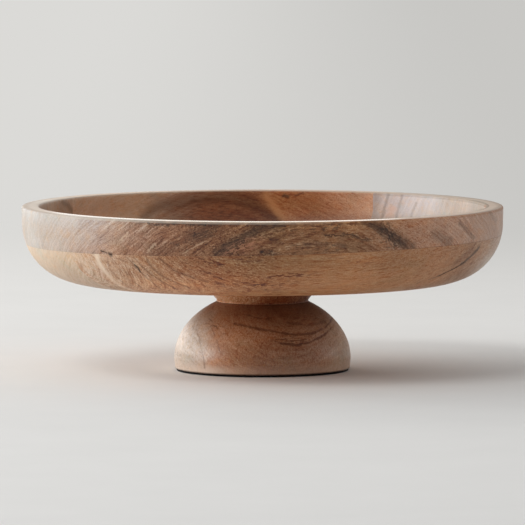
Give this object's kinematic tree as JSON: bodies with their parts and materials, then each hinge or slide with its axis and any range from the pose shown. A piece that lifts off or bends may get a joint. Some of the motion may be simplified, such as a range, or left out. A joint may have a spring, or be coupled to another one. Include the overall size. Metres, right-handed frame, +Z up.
{
  "type": "footed bowl",
  "caption": "Wide shallow turned wooden serving bowl of glued boards in two courses, on a flared neck and a domed foot with a thin black pad.",
  "frame": {"origin": "centre of the resting face under the foot", "axes": "+Z up along the axis of turning, +X along the boards, +Y across their seams towards the narrower back board"},
  "size_m": [0.356, 0.356, 0.122],
  "materials": {
    "rim_front_wood": "satin oil over fine figured grain",
    "rim_middle_wood": "satin oil over fine figured grain",
    "rim_back_wood": "satin oil over fine figured grain",
    "base_front_wood": "satin oil over fine figured grain",
    "base_middle_wood": "satin oil over fine figured grain",
    "base_back_wood": "satin oil over fine figured grain",
    "neck_wood": "satin oil over fine figured grain",
    "foot_wood": "satin oil over fine figured grain",
    "steel": "plain zinc-plated hardware",
    "pad_rubber": "matt black"
  },
  "bodies": {
    "root": {"rim_board_front": "rim_front_wood", "rim_board_left": "rim_middle_wood", "rim_board_right": "rim_middle_wood", "rim_board_back": "rim_back_wood", "base_board_front": "base_front_wood", "base_board_middle": "base_middle_wood", "base_board_back": "base_back_wood", "neck_block": "neck_wood", "foot_block": "foot_wood", "fixing_screw": "steel", "screw_washer": "steel", "foot_pad": "pad_rubber"}
  },
  "joints": []
}
